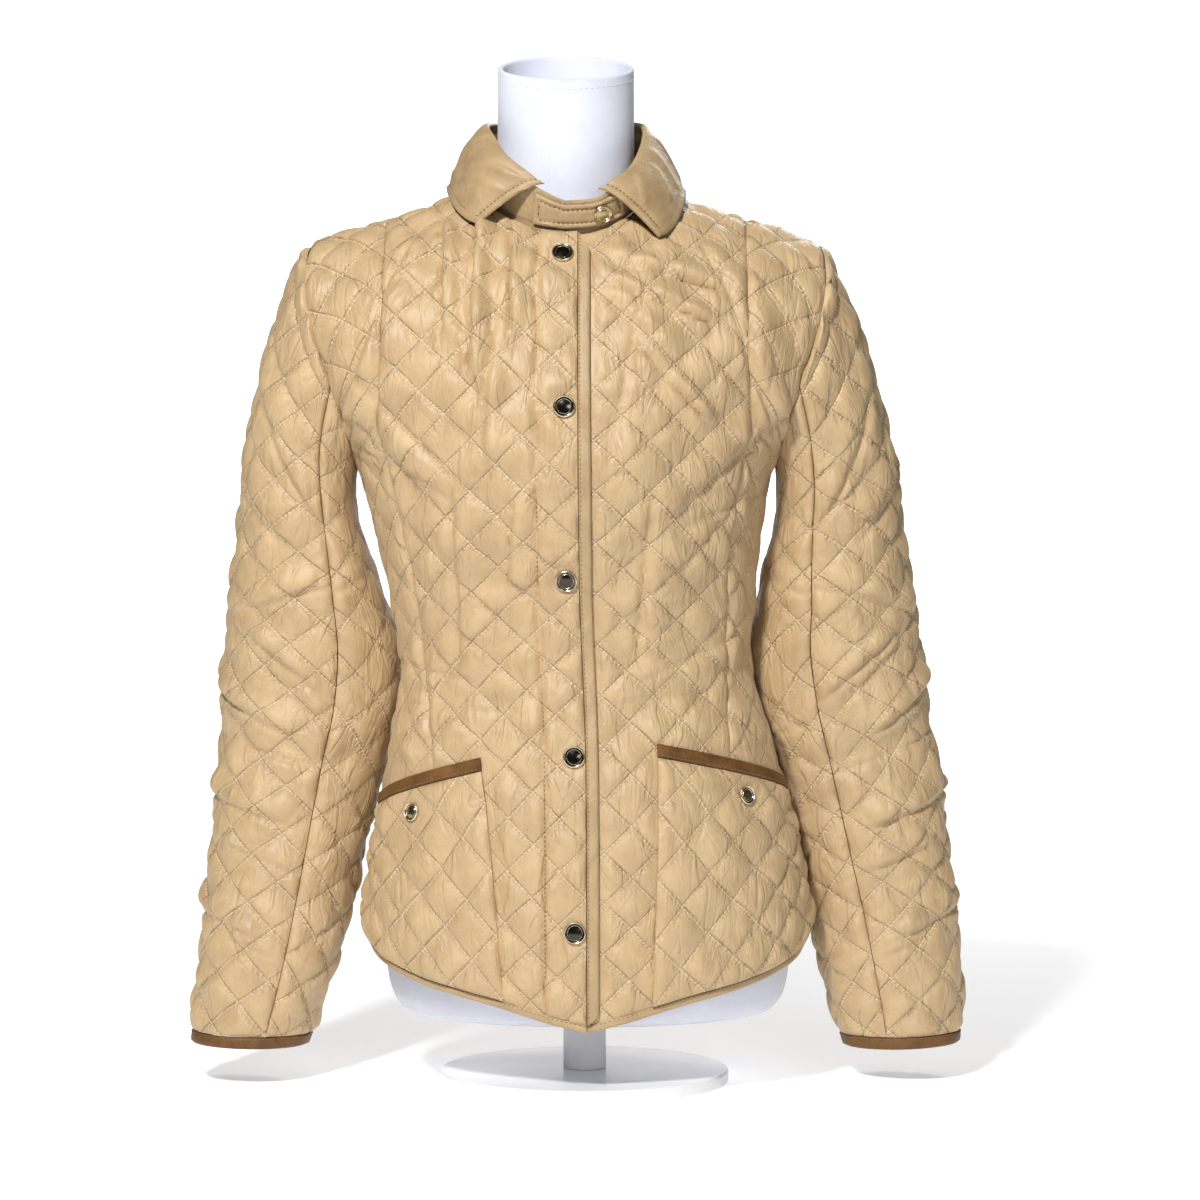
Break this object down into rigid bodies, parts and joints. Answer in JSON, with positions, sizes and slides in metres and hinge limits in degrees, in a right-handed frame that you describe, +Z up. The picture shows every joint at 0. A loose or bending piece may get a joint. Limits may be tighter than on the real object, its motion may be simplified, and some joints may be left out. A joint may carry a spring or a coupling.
{
  "type": "quilted jacket on a dress form",
  "caption": "Diamond-quilted jacket with a shirt collar, snap front, slanted patch pockets and leather bindings, worn by a limbless dress form.",
  "frame": {"origin": "middle of the box round the whole part, on the floor", "axes": "+Z up, the jacket's front to -Y, the wearer's left to +X"},
  "size_m": [0.5836, 0.2432, 0.7749],
  "materials": {
    "quilted_cloth": "satin-faced polyester, diamond quilted",
    "plain_cloth": "satin-faced polyester, plain",
    "leather": "smooth brown leather, satin",
    "snap_metal": "polished pale brass with a dark glossy centre",
    "form_cover": "white stretch knit",
    "form_stand": "white satin paint"
  },
  "bodies": {
    "root": {"back": "quilted_cloth", "front_side_right": "quilted_cloth", "front_centre_right": "quilted_cloth", "front_centre_left": "quilted_cloth", "front_side_left": "quilted_cloth", "pocket_right": "quilted_cloth", "pocket_left": "quilted_cloth", "sleeve_right_top": "quilted_cloth", "sleeve_right_under": "quilted_cloth", "sleeve_left_top": "quilted_cloth", "sleeve_left_under": "quilted_cloth", "front_edge_binding": "plain_cloth", "hem_binding_right": "plain_cloth", "hem_binding_left": "plain_cloth", "hem_binding_back": "plain_cloth", "collar_stand": "plain_cloth", "collar_fall": "plain_cloth", "throat_tab": "plain_cloth", "pocket_trim_right": "leather", "pocket_trim_left": "leather", "cuff_trim_right": "leather", "cuff_trim_left": "leather", "snap_front_1": "snap_metal", "snap_front_2": "snap_metal", "snap_front_3": "snap_metal", "snap_front_4": "snap_metal", "snap_front_5": "snap_metal", "snap_collar": "snap_metal", "snap_pocket_right": "snap_metal", "snap_pocket_left": "snap_metal", "form_torso": "form_cover", "form_post": "form_stand", "form_base": "form_stand"}
  },
  "joints": []
}
